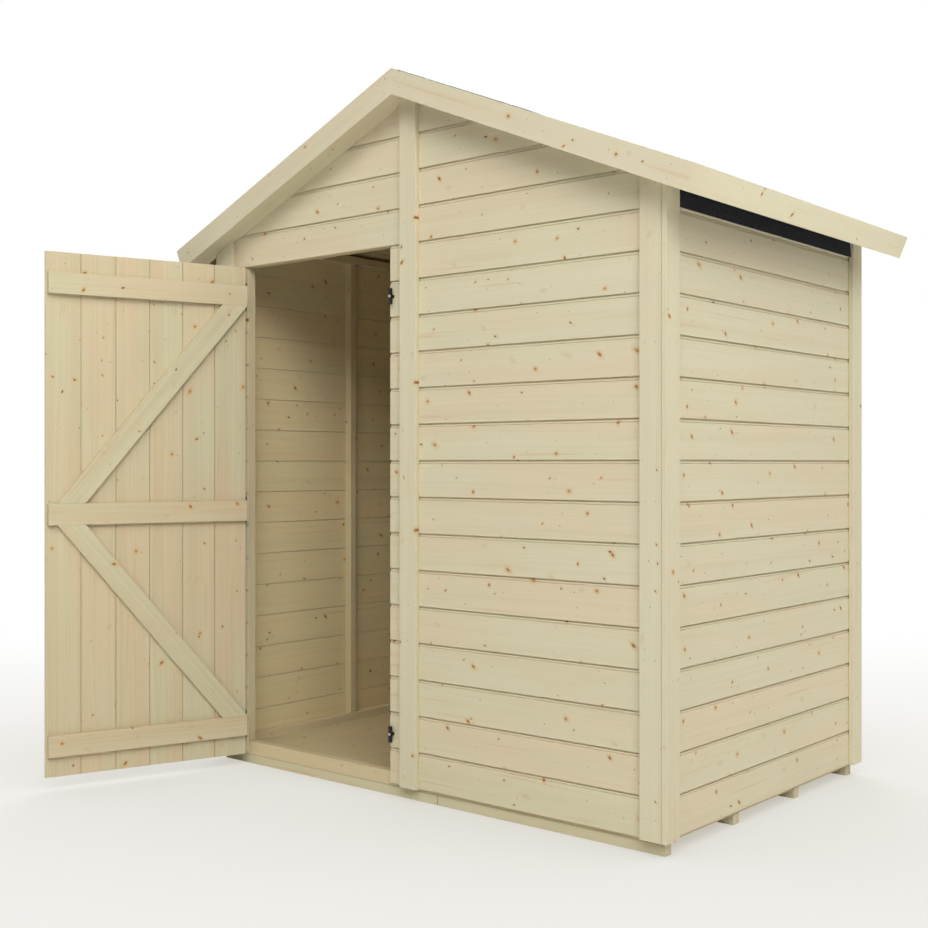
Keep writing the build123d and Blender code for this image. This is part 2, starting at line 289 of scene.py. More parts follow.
        relief = graph.math("MULTIPLY_ADD", fibre, 0.45, graph.math("MULTIPLY", late, 0.35))
        relief = graph.math("SUBTRACT", relief, graph.math("MULTIPLY", graph.math("ADD", core, dark), 0.5))
        graph.plug(result["Height"], relief)
        graph.plug(result["Roughness"], graph.math("MULTIPLY_ADD", fibre, 0.16,
                                                   graph.math("MULTIPLY_ADD", core, -0.14, 0.66)))


class Grit:
    """Shader group for speckled and scuffed surfaces: fine grains and broad wear."""

    def __init__(self) -> None:
        """Build the group once."""
        graph, source, result = new_group(
            "grit", "ShaderNodeTree",
            [("Vector", "NodeSocketVector"), ("Grain Size", "NodeSocketFloat"),
             ("Dark", "NodeSocketColor"), ("Light", "NodeSocketColor")],
            [("Color", "NodeSocketColor"), ("Height", "NodeSocketFloat"), ("Wear", "NodeSocketFloat")])
        self.tree = graph.tree
        scale = graph.math("DIVIDE", 1.0, source["Grain Size"])
        grains = graph.add("ShaderNodeTexVoronoi", {"Vector": source["Vector"], "Scale": scale})
        lot = graph.add("ShaderNodeSeparateColor", {0: grains.outputs["Color"]}).outputs[0]
        wear = graph.noise(source["Vector"], 5.0, 3.0)
        share = graph.math("ADD", graph.math("POWER", lot, 2.5), graph.spread(wear, -0.25, 0.25), clamp=True)
        graph.plug(result["Color"], graph.mix(share, source["Dark"], source["Light"]))
        graph.plug(result["Height"], graph.math("SUBTRACT", 1.0, grains.outputs["Distance"]))
        graph.plug(result["Wear"], graph.step(wear, 0.3, 0.7))


def new_material(name: str) -> tuple:
    """Start a material and return it with its graph and its Principled shader."""
    material = bpy.data.materials.new(name)
    material.use_nodes = True
    graph = Graph(material.node_tree)
    return material, graph, material.node_tree.nodes["Principled BSDF"]


@dataclass(frozen=True)
class TimberFinish:
    """A planed softwood finish.

    The two colours are the greenish and the pinkish wood that each board drifts between.
    """

    name: str
    slot: str
    pale: tuple
    warm: tuple
    figure: float = 0.10
    knots: float = 1.0
    sawn: float = 0.0

    def material(self, wood: Softwood) -> bpy.types.Material:
        """Make the material.

        Args:
            wood: the shared softwood group.

        Returns:
            A material that follows the grain attribute of a piece.
        """
        material, graph, shader = new_material(self.name)
        grain = graph.add("ShaderNodeAttribute", attribute_name="grain").outputs["Vector"]
        tone = graph.add("ShaderNodeAttribute", attribute_name="tone").outputs["Fac"]
        back = graph.add("ShaderNodeAttribute", attribute_name="sawn").outputs["Fac"]
        group = graph.add("ShaderNodeGroup", node_tree=wood.tree)
        for key, value in (("Grain", grain), ("Tone", tone), ("Pale", (*self.pale, 1)),
                           ("Warm", (*self.warm, 1)), ("Figure", self.figure), ("Knots", self.knots),
                           ("Sawn", graph.math("MULTIPLY", back, self.sawn))):
            graph.plug(group.inputs[key], value)
        bump = graph.add("ShaderNodeBump", {"Strength": 0.35, "Distance": 0.5 * MM,
                                            "Height": group.outputs["Height"]})
        graph.plug(shader.inputs["Base Color"], group.outputs["Color"])
        graph.plug(shader.inputs["Roughness"], group.outputs["Roughness"])
        graph.plug(shader.inputs["Normal"], bump.outputs[0])
        shader.inputs["Specular IOR Level"].default_value = 0.25
        return material


@dataclass(frozen=True)
class GritFinish:
    """A speckled finish such as mineral felt, black paint or zinc."""

    name: str
    slot: str
    dark: tuple
    light: tuple
    grain_size: float
    roughness: tuple
    metallic: float = 0.0
    bump: float = 0.3
    specular: float = 0.5

    def material(self, grit: Grit) -> bpy.types.Material:
        """Make the material.

        Args:
            grit: the shared grit group.

        Returns:
            A material on Object coordinates.
        """
        material, graph, shader = new_material(self.name)
        place = graph.add("ShaderNodeTexCoord").outputs["Object"]
        group = graph.add("ShaderNodeGroup", node_tree=grit.tree)
        for key, value in (("Vector", place), ("Grain Size", self.grain_size),
                           ("Dark", (*self.dark, 1)), ("Light", (*self.light, 1))):
            graph.plug(group.inputs[key], value)
        bump = graph.add("ShaderNodeBump", {"Strength": self.bump, "Distance": 0.4 * self.grain_size,
                                            "Height": group.outputs["Height"]})
        graph.plug(shader.inputs["Base Color"], group.outputs["Color"])
        graph.plug(shader.inputs["Roughness"], graph.spread(group.outputs["Wear"], *self.roughness))
        graph.plug(shader.inputs["Normal"], bump.outputs[0])
        shader.inputs["Metallic"].default_value = self.metallic
        shader.inputs["Specular IOR Level"].default_value = self.specular
        return material


class Finishes:
    """All finishes of the shed, with their materials built once."""

    TIMBERS = (
        TimberFinish("cladding_timber", "cladding_timber", (0.648, 0.60, 0.422), (0.668, 0.58, 0.407),
                     sawn=1.0),
        TimberFinish("trim_timber", "trim_timber", (0.64, 0.595, 0.42), (0.655, 0.58, 0.41), 0.08, 0.85),
        TimberFinish("frame_timber", "frame_timber", (0.61, 0.535, 0.335), (0.63, 0.515, 0.32), 0.10, 0.7),
        TimberFinish("door_timber", "door_timber", (0.575, 0.53, 0.355), (0.61, 0.495, 0.325), 0.20, 0.9),
        TimberFinish("floor_timber", "floor_timber", (0.55, 0.47, 0.28), (0.57, 0.45, 0.27), 0.12, 0.7),
        TimberFinish("roof_timber", "roof_timber", (0.54, 0.46, 0.27), (0.56, 0.44, 0.26), 0.12, 0.8),
        TimberFinish("bearer_timber", "bearer_timber", (0.60, 0.55, 0.37), (0.61, 0.53, 0.355), 0.10, 0.7),
    )
    GRITS = (
        GritFinish("felt", "felt", (0.010, 0.011, 0.012), (0.055, 0.058, 0.062), 1.6 * MM, (0.82, 0.95),
                   bump=0.6, specular=0.2),
        GritFinish("black_metal", "black_metal", (0.006, 0.006, 0.006), (0.018, 0.017, 0.016), 0.7 * MM,
                   (0.48, 0.62), specular=0.3),
        GritFinish("bright_screw", "bright_screw", (0.66, 0.57, 0.43), (0.84, 0.76, 0.62), 0.4 * MM,
                   (0.22, 0.38), 1.0, 0.1),
    )

    def __init__(self) -> None:
        """Build the shared groups and then every material."""
        wood, grit = Softwood(), Grit()
        self.materials = {finish.slot: finish.material(wood) for finish in self.TIMBERS}
        self.materials.update({finish.slot: finish.material(grit) for finish in self.GRITS})

    def __getitem__(self, slot: str) -> bpy.types.Material:
        """Return the material of a slot."""
        return self.materials[slot]


def add_object(name: str, mesh: bpy.types.Mesh) -> bpy.types.Object:
    """Put a mesh into the scene as an object at the origin."""
    piece = bpy.data.objects.new(name, mesh)
    bpy.context.scene.collection.objects.link(piece)
    return piece


def hand_in(piece: bpy.types.Object, body: Body, slot: str, *nodes: str) -> bpy.types.Object:
    """Say where a finished piece belongs.

    Args:
        piece: the finished piece.
        body: the body that it moves with.
        slot: not used.
        nodes: the CAD nodes that it stands for.

    Returns:
        The same piece.
    """
    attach(piece, body.value)
    if nodes:
        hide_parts(*nodes)
    LOG.info("%s: %d faces on %s", piece.name, len(piece.data.polygons), body.value)
    return piece


def plain_mesh(piece: bpy.types.Object) -> None:
    """Turn a piece with a live modifier into a plain mesh."""
    depsgraph = bpy.context.evaluated_depsgraph_get()
    mesh = bpy.data.meshes.new_from_object(piece.evaluated_get(depsgraph), preserve_all_data_layers=True,
                                           depsgraph=depsgraph)
    piece.modifiers.clear()
    old, piece.data = piece.data, mesh
    mesh.name = piece.name
    bpy.data.meshes.remove(old)


def cut_piece(piece: bpy.types.Object, point: Vector, normal: Vector) -> None:
    """Saw off what lies beyond a plane and close the cut.

    Args:
        piece: the piece to cut.
        point: a point on the plane.
        normal: the direction of the side that is taken away.
    """
    mesh = bmesh.new()
    mesh.from_mesh(piece.data)
    cut = bmesh.ops.bisect_plane(mesh, geom=[*mesh.verts, *mesh.edges, *mesh.faces], dist=1e-6,
                                 plane_co=point, plane_no=normal, clear_outer=True)
    edges = [item for item in cut["geom_cut"] if isinstance(item, bmesh.types.BMEdge)]
    bmesh.ops.edgeloop_fill(mesh, edges=edges)
    bmesh.ops.recalc_face_normals(mesh, faces=mesh.faces)
    mesh.to_mesh(piece.data)
    mesh.free()


def eased_timbers(name: str, nodes: Sequence[str], body: Body, slot: str, finishes: Finishes,
                  ease: float, seed: int, gap: float = 0.0, tones: tuple = (0.0, 1.0)) -> bpy.types.Object:
    """Make the sticks of CAD nodes again with eased edges and grain along each stick.

    Args:
        name: the piece's name.
        nodes: the CAD nodes, each of straight sticks.
        body: the body that the piece rides on.
        slot: the timber finish.
        finishes: the shed's finishes.
        ease: width of the eased edges.
        seed: seed of the grain's random start in each stick.
        gap: how far the long faces stand back, to leave an open joint.
        tones: range of the sticks' tones.

    Returns:
        The finished piece.
    """
    lots = random.Random(seed)
    mesh = bmesh.new()
    for node in nodes:
        mesh.from_mesh(frame["nodes"][node].data)
    bmesh.ops.remove_doubles(mesh, verts=mesh.verts, dist=0.02 * MM)
    bmesh.ops.dissolve_limit(mesh, angle_limit=math.radians(1), verts=mesh.verts, edges=mesh.edges)
    grain = mesh.verts.layers.float_vector.new("grain")
    tone = mesh.verts.layers.float.new("tone")
    marker = mesh.verts.layers.int.new("stick")
    sticks = connected_sticks(mesh)
    axes = [stick_axes(stick) for stick in sticks]
    for index, stick in enumerate(sticks):
        centre, _, across, through = axes[index]
        for corner in stick:
            corner[marker] = index
            for way in (across, through):
                corner.co -= way * math.copysign(gap, (corner.co - centre).dot(way))
    bmesh.ops.bevel(mesh, geom=list(mesh.edges), offset=ease, offset_type="OFFSET", segments=2,
                    profile=0.5, affect="EDGES", clamp_overlap=True)
    starts = [Vector((lots.uniform(0, 40), lots.uniform(-0.04, 0.04), lots.uniform(0.03, 0.11)))
              for _ in sticks]
    stick_tones = [lots.uniform(*tones) for _ in sticks]
    for corner in mesh.verts:
        index = corner[marker]
        centre, along, across, through = axes[index]
        offset = corner.co - centre
        corner[grain] = starts[index] + Vector((offset.dot(along), offset.dot(across), offset.dot(through)))
        corner[tone] = stick_tones[index]
    bmesh.ops.recalc_face_normals(mesh, faces=mesh.faces)
    data = bpy.data.meshes.new(name)
    mesh.to_mesh(data)
    mesh.free()
    data.attributes.remove(data.attributes["stick"])
    data.materials.append(finishes[slot])
    return hand_in(add_object(name, data), body, slot, *nodes)


def connected_sticks(mesh: bmesh.types.BMesh) -> list:
    """Return the corners of each separate stick in a mesh."""
    waiting = dict.fromkeys(mesh.verts)
    sticks = []
    while waiting:
        front = [next(iter(waiting))]
        del waiting[front[0]]
        stick = list(front)
        while front:
            for edge in front.pop().link_edges:
                for corner in edge.verts:
                    if corner in waiting:
                        del waiting[corner]
                        front.append(corner)
                        stick.append(corner)
        sticks.append(stick)
    return sticks


def stick_boxes(node: str) -> list:
    """Return the lowest and highest corners of each separate stick of a CAD node."""
    mesh = bmesh.new()
    mesh.from_mesh(frame["nodes"][node].data)
    bmesh.ops.remove_doubles(mesh, verts=mesh.verts, dist=0.02 * MM)
    boxes = [tuple(Vector([pick(corner.co[axis] for corner in stick) for axis in range(3)])
                   for pick in (min, max)) for stick in connected_sticks(mesh)]
    mesh.free()
    return boxes


def stick_axes(stick: Sequence[bmesh.types.BMVert]) -> tuple:
    """Find how the grain of one stick runs.

    Args:
        stick: the corners of the stick.

    Returns:
        Its middle, and the directions along it, across its widest face and through it.
    """
    edges = [edge for corner in stick for edge in corner.link_edges]
    faces = [face for corner in stick for face in corner.link_faces]
    longest = max(edges, key=lambda edge: edge.calc_length())
    along = (longest.verts[1].co - longest.verts[0].co).normalized()
    through = max(faces, key=lambda face: face.calc_area()).normal.copy()
    through = (through - along * through.dot(along)).normalized()
    centre = sum((corner.co for corner in stick), Vector()) / len(stick)
    return centre, along, through.cross(along), through


@dataclass(frozen=True)
class ShadowLine:
    """Stepped joint along the top of a cladding board: a fine notch, a set-back band and a dark slot."""

    height: float = 11.6 * MM
    notch: float = 2.8 * MM
    notch_depth: float = 4.4 * MM
    band_depth: float = 2.6 * MM
    slot: float = 4.2 * MM
    slot_depth: float = 6.5 * MM

    def outline(self, top: float) -> list:
        """Return its corners below the top of a board, as pairs of distance across and depth."""
        start = top - self.height
        return [(start, 0), (start + self.notch / 2, self.notch_depth), (start + self.notch, self.band_depth),
                (top - self.slot, self.band_depth), (top - self.slot, self.slot_depth), (top, self.slot_depth)]


@dataclass(frozen=True)
class BoardSection:
    """Section of a tongue-and-groove board, across its cover and into its depth from the face."""

    cover: float
    thickness: float
    shadow_line: Optional[ShadowLine] = None
    chamfer: float = 1.0 * MM
    tongue: float = 5.8 * MM
    tongue_shares: tuple = (0.57, 0.74)
    play: float = 0.3 * MM
    back_gap: float = 0.0

    def outline(self) -> list:
        """Return the corners of the section as pairs of distance across and depth."""
        thick, ease, slack = self.thickness, self.chamfer, self.play
        near, far = (thick * share for share in self.tongue_shares)
        top = self.cover - slack
        edge = top - self.back_gap
        face = [(0, ease), (ease, 0)]
        face += self.shadow_line.outline(top) if self.shadow_line else [(top - ease, 0), (top, ease)]
        joint = [(top, near), (top + self.tongue, near), (top + self.tongue, far), (edge, far)]
        back = [(edge, thick - ease), (edge - ease, thick), (ease, thick), (0, thick - ease)]
        hollow = self.tongue + slack
        groove = [(0, far + slack), (hollow, far + slack), (hollow, near - slack), (0, near - slack)]
        return face + joint + back + groove


class BoardCourses:
    """Geometry Nodes tree that lays boards side by side and gives each its own wood."""

    def __init__(self) -> None:
        """Build the tree once."""
        graph, source, result = new_group(
            "board_courses", "GeometryNodeTree",
            [("Board", "NodeSocketGeometry"), ("Count", "NodeSocketInt"), ("Step", "NodeSocketVector"),
             ("Seed", "NodeSocketInt"), ("Finish", "NodeSocketMaterial")],
            [("Boards", "NodeSocketGeometry")])
        self.tree = graph.tree
        line = graph.add("GeometryNodeMeshLine", {"Count": source["Count"], "Offset": source["Step"]},
                         mode="OFFSET")
        boards = graph.add("GeometryNodeInstanceOnPoints",
                           {"Points": line.outputs[0], "Instance": source["Board"]}).outputs[0]
        tone = graph.add("FunctionNodeRandomValue", {"Seed": source["Seed"]}, data_type="FLOAT").outputs[1]
        start = graph.add("FunctionNodeRandomValue",
                          {0: (0.0, -0.04, 0.03), 1: (40.0, 0.04, 0.11), "Seed": source["Seed"]},
                          data_type="FLOAT_VECTOR").outputs[0]
        boards = self.keep(graph, boards, "tone", tone, "FLOAT", "INSTANCE")
        boards = self.keep(graph, boards, "start", start, "FLOAT_VECTOR", "INSTANCE")
        boards = graph.add("GeometryNodeRealizeInstances", {"Geometry": boards}).outputs[0]
        moved = graph.vector("ADD", self.recall(graph, "grain"), self.recall(graph, "start"))
        boards = self.keep(graph, boards, "grain", moved, "FLOAT_VECTOR", "POINT")
        boards = graph.add("GeometryNodeSetMaterial",
                           {"Geometry": boards, "Material": source["Finish"]}).outputs[0]
        graph.plug(result["Boards"], boards)

    @staticmethod
    def keep(graph: Graph, geometry: object, name: str, value: object, kind: str,
             domain: str) -> bpy.types.NodeSocket:
        """Store a value on the geometry under a name."""
        node = graph.add("GeometryNodeStoreNamedAttribute", {"Geometry": geometry, "Name": name},
                         data_type=kind, domain=domain)
        graph.plug(node.inputs["Value"], value)
        return node.outputs[0]

    @staticmethod
    def recall(graph: Graph, name: str) -> bpy.types.NodeSocket:
        """Read a stored vector by its name."""
        return graph.add("GeometryNodeInputNamedAttribute", {"Name": name},
                         data_type="FLOAT_VECTOR").outputs[0]

    def lay(self, name: str, section: BoardSection, place: "BoardPlace", count: int, seed: int,
            finish: bpy.types.Material) -> bpy.types.Object:
        """Lay courses of boards.

        Args:
            name: the piece's name.
            section: the section of a board.
            place: where the first board lies and how boards run.
            count: number of boards.
            seed: seed of each board's own wood.
            finish: the material.

        Returns:
            A piece with a plain mesh.
        """
        piece = add_object(name, place.board(name, section))
        modifier = piece.modifiers.new("courses", "NODES")
        modifier.node_group = self.tree
        identifiers = {item.name: item.identifier for item in self.tree.interface.items_tree}
        for key, value in (("Count", count), ("Step", tuple(place.across * section.cover)),
                           ("Seed", seed), ("Finish", finish)):
            modifier[identifiers[key]] = value
        plain_mesh(piece)
        return piece


@dataclass(frozen=True)
class BoardPlace:
    """Where the first board of a course lies: its corner, the way it runs, the next boards, its back."""

    corner: Vector
    along: Vector
    across: Vector
    depth: Vector
    length: float

    def board(self, name: str, section: BoardSection) -> bpy.types.Mesh:
        """Make one board.

        Args:
            name: the mesh's name.
            section: the section of the board.

        Returns:
            A closed mesh with its grain, and sawn set to 1 on its back.
        """
        mesh = bmesh.new()
        grain = mesh.verts.layers.float_vector.new("grain")
        sawn = mesh.verts.layers.float.new("sawn")
        loops = []
        for distance in (0.0, self.length):
            loop = []
            for side, deep in section.outline():
                corner = mesh.verts.new(self.corner + self.along * distance + self.across * side
                                        + self.depth * deep)
                corner[grain] = Vector((distance, side - section.cover / 2, deep))
                corner[sawn] = float(deep > section.thickness - 2 * section.chamfer)
                loop.append(corner)
            loops.append(loop)
        size = len(loops[0])
        for index in range(size):
            after = (index + 1) % size
            mesh.faces.new((loops[0][index], loops[0][after], loops[1][after], loops[1][index]))
        mesh.faces.new(loops[0])
        mesh.faces.new(loops[1])
        bmesh.ops.recalc_face_normals(mesh, faces=mesh.faces)
        data = bpy.data.meshes.new(name)
        mesh.to_mesh(data)
        mesh.free()
        return data


class Fixings:
    """Geometry Nodes tree that sets nail and screw heads on a piece, with the heads' own meshes."""

    def __init__(self) -> None:
        """Build the tree once."""
        graph, source, result = new_group(
            "fixings", "GeometryNodeTree",
            [("Places", "NodeSocketGeometry"), ("Head", "NodeSocketObject"), ("Seed", "NodeSocketInt"),
             ("Finish", "NodeSocketMaterial")],
            [("Heads", "NodeSocketGeometry")])
        self.tree = graph.tree
        aim = BoardCourses.recall(graph, "aim")
        turn = graph.add("FunctionNodeAlignRotationToVector", {"Vector": aim}, axis="Z").outputs[0]
        spin = graph.add("FunctionNodeRandomValue", {2: 0.0, 3: math.tau, "Seed": source["Seed"]},
                         data_type="FLOAT").outputs[1]
        twist = graph.add("FunctionNodeAxisAngleToRotation", {"Axis": (0, 0, 1), "Angle": spin}).outputs[0]
        rotation = graph.add("FunctionNodeRotateRotation", {0: turn, 1: twist},
                             rotation_space="LOCAL").outputs[0]
        head = graph.add("GeometryNodeObjectInfo", {"Object": source["Head"]}).outputs["Geometry"]
        heads = graph.add("GeometryNodeInstanceOnPoints",
                          {"Points": source["Places"], "Instance": head, "Rotation": rotation}).outputs[0]
        heads = graph.add("GeometryNodeRealizeInstances", {"Geometry": heads}).outputs[0]
        heads = graph.add("GeometryNodeSetMaterial",
                          {"Geometry": heads, "Material": source["Finish"]}).outputs[0]
        graph.plug(result["Heads"], heads)

    @staticmethod
    def head(radius: float, rise: float, sides: int, recess: float = 0.0) -> bpy.types.Object:
        """Turn one domed head.

        Args:
            radius: radius of the head.
            rise: height of its dome.
            sides: number of sides of the head.
            recess: depth of the driver's socket in its middle.

        Returns:
            A closed head as an object, to be removed after use.
        """
        rings = [(radius, -rise), (radius, 0.0), (0.8 * radius, 0.65 * rise), (0.45 * radius, rise)]
        if recess:
            rings += [(0.34 * radius, rise), (0.2 * radius, rise - recess)]
        mesh = bmesh.new()
        loops = [[mesh.verts.new((r * math.cos(math.tau * i / sides), r * math.sin(math.tau * i / sides), z))
                  for i in range(sides)] for r, z in rings]
        for low, high in zip(loops, loops[1:]):
            for i in range(sides):
                j = (i + 1) % sides
                mesh.faces.new((low[i], low[j], high[j], high[i]))
        mesh.faces.new(list(reversed(loops[0])))
        mesh.faces.new(loops[-1])
        bmesh.ops.recalc_face_normals(mesh, faces=mesh.faces)
        data = bpy.data.meshes.new("head")
        mesh.to_mesh(data)
        mesh.free()
        return add_object("head", data)

    def drive(self, name: str, places: Sequence[tuple], head: bpy.types.Object, seed: int,
              body: Body, slot: str, finishes: Finishes) -> bpy.types.Object:
        """Set heads at places.

        Args:
            name: the piece's name.
            places: pairs of the point on the surface and the way out of it.
            head: the head, which is removed afterwards.
            seed: seed of the heads' turn.
            body: the body that carries them.
            slot: their finish.
            finishes: the shed's finishes.

        Returns:
            The finished piece.
        """
        data = bpy.data.meshes.new(name)
        data.from_pydata([tuple(point) for point, _ in places], [], [])
        aims = data.attributes.new("aim", "FLOAT_VECTOR", "POINT")
        for item, (_, aim) in zip(aims.data, places):
            item.vector = aim
        piece = add_object(name, data)
        modifier = piece.modifiers.new("fixings", "NODES")
        modifier.node_group = self.tree
        identifiers = {item.name: item.identifier for item in self.tree.interface.items_tree}
        for key, value in (("Head", head), ("Seed", seed), ("Finish", finishes[slot])):
            modifier[identifiers[key]] = value
        plain_mesh(piece)
        bpy.data.objects.remove(head)
        return hand_in(piece, body, slot)


@dataclass
class Workshop:
    """What every sub-assembly needs: finishes, board tree and fixings tree."""

    finishes: Finishes = field(default_factory=Finishes)
    courses: BoardCourses = field(default_factory=BoardCourses)
    fixings: Fixings = field(default_factory=Fixings)

    def pin_nails(self, name: str, places: Sequence[tuple], seed: int, body: Body = Body.SHED) -> None:
        """Drive fine dark pin nails at places; see Fixings.drive."""
        self.fixings.drive(name, places, Fixings.head(1.1 * MM, 0.25 * MM, 10), seed, body, "black_metal",
                           self.finishes)

    def timbers(self, name: str, nodes: Sequence[str], slot: str, ease: float, seed: int,
                body: Body = Body.SHED, gap: float = 0.0, tones: tuple = (0.0, 1.0)) -> bpy.types.Object:
        """Make eased timbers for CAD nodes; see eased_timbers."""
        return eased_timbers(name, nodes, body, slot, self.finishes, ease, seed, gap, tones)


@dataclass
class Base:
    """Bearers and boarded floor."""

    shop: Workshop
    board_count: int = 18
    ease: float = 1.8 * MM
    joint_gap: float = 0.8 * MM

    def build(self) -> None:
        """Make the bearers and lay the floor."""
        self.shop.timbers("front_bearer_timber", ["front_bearer"], "bearer_timber", 1.2 * MM, 11,
                          gap=self.joint_gap)
        self.shop.timbers("inner_bearer_timbers", ["inner_bearers"], "bearer_timber", self.ease, 12)
        low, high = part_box("floor")
        section = BoardSection((high.x - low.x) / self.board_count, high.z - low.z, chamfer=0.8 * MM)
        place = BoardPlace(Vector((low.x, low.y, high.z)), Y_AXIS, X_AXIS, -Z_AXIS, high.y - low.y)
        floor = self.shop.courses.lay("floor_boards", section, place, self.board_count, 21,
                                      self.shop.finishes["floor_timber"])
        cut_piece(floor, high, X_AXIS)
        hand_in(floor, Body.SHED, "floor_timber", "floor")


@dataclass
class WallFrame:
    """Rails, studs, jambs, header and rafters."""

    shop: Workshop
    ease: float = 1.5 * MM
    nodes: tuple = ("front_rail", "rear_rail", "left_rail", "right_rail", "left_top_rail", "right_top_rail",
                    "left_studs", "right_studs", "left_jamb", "right_jamb", "door_header",
                    "front_left_post", "front_right_studs", "rear_studs", "front_rafters", "rear_rafters")

    def build(self) -> None:
        """Make every stick of the frame."""
        for seed, node in enumerate(self.nodes, 100):
            self.shop.timbers(node + "_timber", [node], "frame_timber", self.ease, seed)


@dataclass
class Cladding:
    """Tongue-and-groove boards of the four walls."""

    shop: Workshop
    cover: float = 112 * MM
    shadow_line: ShadowLine = field(default_factory=ShadowLine)
    back_gap: float = 2.2 * MM

    def __post_init__(self) -> None:
        """Work out the section from the walls."""
        low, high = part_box("front_right_cladding")
        self.section = BoardSection(self.cover, high.y - low.y, self.shadow_line, chamfer=0.8 * MM,
                                    back_gap=self.back_gap)

    def wall(self, name: str, node: str, corner: Vector, along: Vector, depth: Vector, length: float,
             top: float, seed: int) -> bpy.types.Object:
        """Lay one panel of boards and saw it off at its top.

        Args:
            name: the piece's name.
            node: not used.
            corner: lower corner of the panel's face.
            along: the way that the boards run.
            depth: the way into the wall.
            length: length of the boards.
            top: height of the panel's top.
            seed: seed of the boards' wood.

        Returns:
            The panel, not yet handed in.
        """
        count = math.ceil((top - corner.z) / self.cover - 0.001)
        piece = self.shop.courses.lay(name, self.section, BoardPlace(corner, along, Z_AXIS, depth, length),
                                      count, seed, self.shop.finishes["cladding_timber"])
        cut_piece(piece, Vector((0, 0, top)), Z_AXIS)
        return piece

    def build(self) -> None:
        """Board the front, the gables, the sides and the back."""
        self.build_front()
        self.build_sides()
        self.build_rear()

    def slope_cuts(self, piece: bpy.types.Object) -> None:
        """Saw a gable's boards to the slopes of the roof."""
        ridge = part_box("front_gable")[1]
        rise = ridge.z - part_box("left_cladding")[1].z
        for side in Slope:
            normal = Vector((side.value * rise, 0, ridge.x)).normalized()
            cut_piece(piece, Vector((0, 0, ridge.z)), normal)

    def build_front(self) -> None:
        """Board the front wall: the strip left of the doorway, the panel right of it and the gable."""
        low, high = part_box("front_left_cladding")
        strip = self.wall("front_left_boards", "front_left_cladding", low, X_AXIS, Y_AXIS, high.x - low.x,
                          high.z, 31)
        hand_in(strip, Body.SHED, "cladding_timber", "front_left_cladding")
        low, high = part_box("front_right_cladding")
        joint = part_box("centre_trim")[0].lerp(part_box("centre_trim")[1], 0.5).x
        narrow = self.wall("doorway_edge_boards", "front_right_cladding", low, X_AXIS, Y_AXIS, joint - low.x,
                           high.z, 32)
        panel = self.wall("front_right_boards", "front_right_cladding", Vector((joint, low.y, low.z)), X_AXIS,
                          Y_AXIS, high.x - joint, high.z, 33)
        hand_in(narrow, Body.SHED, "cladding_timber")
        hand_in(panel, Body.SHED, "cladding_timber", "front_right_cladding")
        low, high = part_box("front_gable")
        for name, start, end, seed in (("front_gable_left_boards", low.x, joint, 34),
                                       ("front_gable_right_boards", joint, high.x, 35)):
            gable = self.wall(name, "front_gable", Vector((start, low.y, low.z)), X_AXIS, Y_AXIS, end - start,
                              high.z, seed)
            self.slope_cuts(gable)
            hand_in(gable, Body.SHED, "cladding_timber", *(["front_gable"] if start == joint else []))

    def build_sides(self) -> None:
        """Board the two side walls."""
        for node, name, seed in (("left_cladding", "left_boards", 36), ("right_cladding", "right_boards", 37)):
            low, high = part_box(node)
            outer = low.x if node == "left_cladding" else high.x
            depth = X_AXIS if node == "left_cladding" else -X_AXIS
            wall = self.wall(name, node, Vector((outer, low.y, low.z)), Y_AXIS, depth, high.y - low.y,
                             high.z, seed)
            hand_in(wall, Body.SHED, "cladding_timber", node)

    def build_rear(self) -> None:
        """Board the rear wall up to its slopes."""
        low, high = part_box("rear_cladding")
        wall = self.wall("rear_boards", "rear_cladding", Vector((low.x, high.y, low.z)), X_AXIS, -Y_AXIS,
                         high.x - low.x, high.z, 38)
        self.slope_cuts(wall)
        hand_in(wall, Body.SHED, "cladding_timber", "rear_cladding")


@dataclass
class Trims:
    """Cover strips over the corners and the joint in the front wall."""

    shop: Workshop
    ease: float = 1.0 * MM
    joint_gap: float = 0.6 * MM
    nail_spacing: float = 420 * MM
    nail_inset: float = 17 * MM
    nodes: tuple = ("front_left_trim", "front_right_trim", "rear_trims", "left_side_trims",
                    "right_side_trims", "centre_trim")

    def build(self) -> None:
        """Make the strips and nail them."""
        nails = []
        for seed, node in enumerate(self.nodes, 200):
            self.shop.timbers(node + "_timber", [node], "trim_timber", self.ease, seed, gap=self.joint_gap)
            nails += self.nail_places(node)
        self.shop.pin_nails("trim_nails", nails, 71)

    def nail_places(self, node: str) -> list:
        """Return pairs of nails up the face of each strip of a node, with the way out of the wall."""
        places = []
        for low, high in stick_boxes(node):
            thin = 0 if high.x - low.x < high.y - low.y else 1
            wide = 1 - thin
            out = Vector((0, 0, 0))
            out[thin] = math.copysign(1, (low + high)[thin] - (0 if thin == 0 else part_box("floor")[1].y))
            for step in range(int((high.z - low.z) / self.nail_spacing) + 1):
                for side in (low[wide] + self.nail_inset, high[wide] - self.nail_inset):
                    spot = Vector((0, 0, low.z + 60 * MM + step * self.nail_spacing))
                    spot[wide] = side
                    spot[thin] = (high if out[thin] > 0 else low)[thin] - out[thin] * self.joint_gap
                    places.append((spot, out))
        return places


